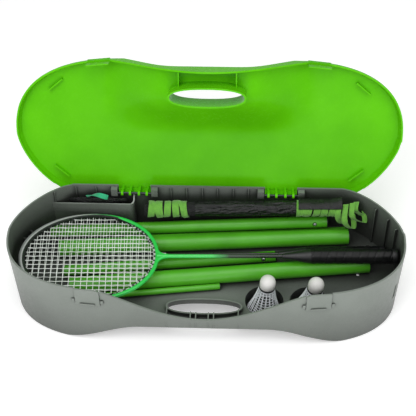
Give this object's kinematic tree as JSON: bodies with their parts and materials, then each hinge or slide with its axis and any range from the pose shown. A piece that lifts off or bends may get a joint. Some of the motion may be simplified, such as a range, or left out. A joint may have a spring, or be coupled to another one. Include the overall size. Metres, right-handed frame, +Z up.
{
  "type": "portable badminton net set in its carrying case",
  "caption": "Portable badminton net packed in its open clamshell carrying case, with sectional poles, rackets, shuttlecocks and a pouch.",
  "frame": {"origin": "centre of the case's underside, on the plane of its feet", "axes": "+Z up, +X towards the racket handles, +Y towards the hinge"},
  "size_m": [0.676, 0.3579, 0.3676],
  "materials": {
    "green_shell": "glossy injection-moulded polypropylene",
    "grey_shell": "fine-textured moulded plastic",
    "black_plastic": "satin moulded plastic",
    "dark_rubber": "matt rubber",
    "steel": "bright ground steel",
    "green_paint": "satin powder coat on steel tube",
    "racket_frame": "gloss enamel on alloy tube, silver at the tip",
    "racket_2_frame": "silver enamel with black at the throat",
    "strings": "nylon string",
    "shaft": "satin enamel on steel shaft",
    "grip": "wrapped synthetic leather",
    "skirt": "translucent white moulded nylon",
    "cork": "white coated cork",
    "band": "black printed band",
    "net_mesh": "knotted black polyethylene twine",
    "nylon": "black woven nylon",
    "green_tape": "woven green webbing",
    "teal_strap": "woven webbing"
  },
  "bodies": {
    "case": {"case_base": "grey_shell", "pocket_divider": "grey_shell", "hinge_pin_left": "steel", "hinge_pin_right": "steel", "latch_pin_left": "steel", "latch_pin_right": "steel", "foot_1": "dark_rubber", "foot_2": "dark_rubber", "foot_3": "dark_rubber", "foot_4": "dark_rubber", "foot_5": "dark_rubber"},
    "lid": {"lid_shell": "green_shell"},
    "latch_left": {"latch_left": "grey_shell"},
    "latch_right": {"latch_right": "grey_shell"},
    "pole_f": {"pole_f": "green_paint", "pole_f_plugs": "black_plastic"},
    "pole_a": {"pole_a": "green_paint", "pole_a_plugs": "black_plastic"},
    "pole_b": {"pole_b": "green_paint", "pole_b_plugs": "black_plastic"},
    "pole_c": {"pole_c": "green_paint", "pole_c_plugs": "black_plastic"},
    "pole_d": {"pole_d": "green_paint", "pole_d_plugs": "black_plastic"},
    "pole_e": {"pole_e": "green_paint", "pole_e_plugs": "black_plastic"},
    "pole_a_button": {"pole_a_button": "steel"},
    "pole_c_button": {"pole_c_button": "steel"},
    "net": {"net_roll": "net_mesh", "net_sleeve": "nylon", "net_tape_left": "green_tape", "net_tape_right": "green_tape"},
    "racket_1": {"racket_1_butt_cap": "black_plastic", "racket_1_cone": "black_plastic", "racket_1_frame": "racket_frame", "racket_1_grip": "grip", "racket_1_shaft": "shaft", "racket_1_strings": "strings"},
    "racket_2": {"racket_2_butt_cap": "black_plastic", "racket_2_cone": "black_plastic", "racket_2_frame": "racket_2_frame", "racket_2_grip": "grip", "racket_2_shaft": "shaft", "racket_2_strings": "strings"},
    "shuttle_1": {"shuttle_1_band": "band", "shuttle_1_cork": "cork", "shuttle_1_skirt": "skirt"},
    "shuttle_2": {"shuttle_2_band": "band", "shuttle_2_cork": "cork", "shuttle_2_skirt": "skirt"},
    "pouch": {"pouch": "nylon", "pouch_strap": "teal_strap"}
  },
  "joints": [
    {"name": "lid_hinge", "type": "hinge", "parent": "case", "child": "lid", "pos_m": [0, 0.1164, 0.1214], "axis": [-1, 0, 0], "range_deg": [-111.4, 0]},
    {"name": "latch_left_pivot", "type": "hinge", "parent": "case", "child": "latch_left", "pos_m": [-0.18809, -0.11902, 0.106], "axis": [0.9952, -0.0976, 0], "range_deg": [0, 10], "stiffness_Nm_per_rad": 0.4},
    {"name": "latch_right_pivot", "type": "hinge", "parent": "case", "child": "latch_right", "pos_m": [0.18809, -0.11902, 0.106], "axis": [0.9952, 0.0976, 0], "range_deg": [0, 10], "stiffness_Nm_per_rad": 0.4},
    {"name": "pole_f_lift", "type": "slide", "parent": "case", "child": "pole_f", "axis": [0, 0, 1], "range_m": [0, 0.1]},
    {"name": "pole_c_lift", "type": "slide", "parent": "pole_f", "child": "pole_c", "axis": [0, 0, 1], "range_m": [0, 0.1]},
    {"name": "pole_e_lift", "type": "slide", "parent": "pole_c", "child": "pole_e", "axis": [0, 0, 1], "range_m": [0, 0.1]},
    {"name": "pole_d_lift", "type": "slide", "parent": "pole_e", "child": "pole_d", "axis": [0, 0, 1], "range_m": [0, 0.1]},
    {"name": "pole_b_lift", "type": "slide", "parent": "pole_d", "child": "pole_b", "axis": [0, 0, 1], "range_m": [0, 0.1]},
    {"name": "pole_a_lift", "type": "slide", "parent": "pole_b", "child": "pole_a", "axis": [0, 0, 1], "range_m": [0, 0.1]},
    {"name": "racket_2_lift", "type": "slide", "parent": "pole_a", "child": "racket_2", "axis": [0, 0, 1], "range_m": [0, 0.08]},
    {"name": "racket_1_lift", "type": "slide", "parent": "racket_2", "child": "racket_1", "axis": [0, 0, 1], "range_m": [0, 0.08]},
    {"name": "net_lift", "type": "slide", "parent": "pole_a", "child": "net", "axis": [0, 0, 1], "range_m": [0, 0.08]},
    {"name": "shuttle_1_lift", "type": "slide", "parent": "case", "child": "shuttle_1", "axis": [0, 0, 1], "range_m": [0, 0.1]},
    {"name": "shuttle_2_lift", "type": "slide", "parent": "case", "child": "shuttle_2", "axis": [0, 0, 1], "range_m": [0, 0.1]},
    {"name": "pouch_lift", "type": "slide", "parent": "case", "child": "pouch", "axis": [0, 0, 1], "range_m": [0, 0.1]},
    {"name": "pole_a_button_press", "type": "slide", "parent": "pole_a", "child": "pole_a_button", "axis": [-0.0263, 0.9439, -0.3293], "range_m": [0, 0.0024], "stiffness_N_per_m": 900},
    {"name": "pole_c_button_press", "type": "slide", "parent": "pole_c", "child": "pole_c_button", "axis": [-0.1075, 0.8947, -0.4336], "range_m": [0, 0.0024], "stiffness_N_per_m": 900}
  ]
}
